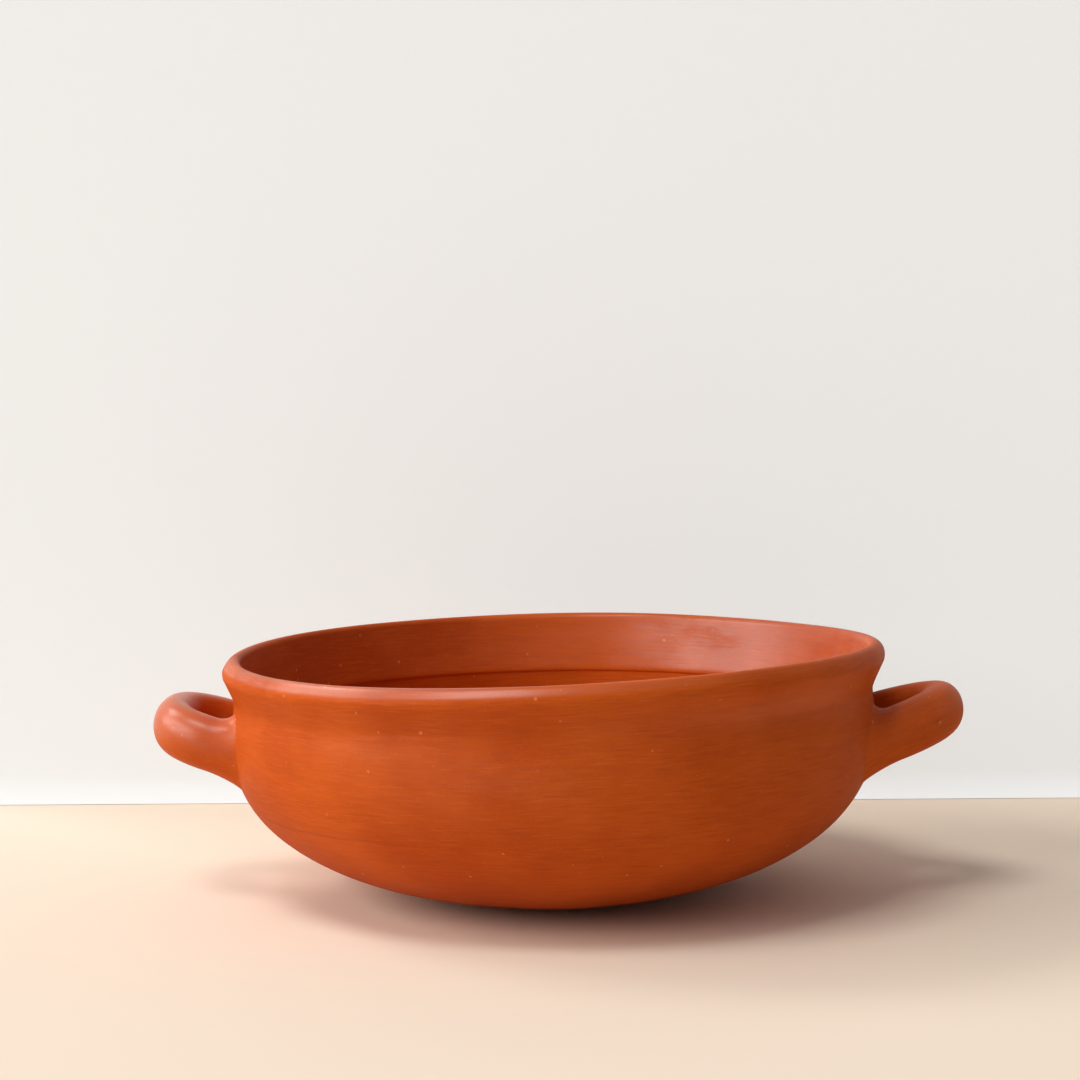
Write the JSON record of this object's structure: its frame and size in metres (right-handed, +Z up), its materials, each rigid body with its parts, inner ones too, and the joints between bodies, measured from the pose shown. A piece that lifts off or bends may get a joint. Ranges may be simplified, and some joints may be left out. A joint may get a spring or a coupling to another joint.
{
  "type": "clay serving bowl",
  "caption": "Round-bottomed burnished terracotta serving bowl with a flared rolled lip and raised lug handles at its sides.",
  "frame": {"origin": "centre of the flat foot, on the surface that the bowl stands on", "axes": "+Z up out of the bowl's mouth, +X towards the right-hand handle as pictured, +Y away from the viewer"},
  "size_m": [0.3205, 0.26, 0.0999],
  "materials": {
    "body_clay": "hand-burnished unglazed terracotta, satin, with fine streaks round the bowl",
    "handle_clay": "hand-burnished unglazed terracotta, satin, streaked along the handle"
  },
  "bodies": {
    "root": {"base_bowl": "body_clay", "wall_coil": "body_clay", "rim_coil": "body_clay", "left_handle": "handle_clay", "right_handle": "handle_clay"}
  },
  "joints": []
}
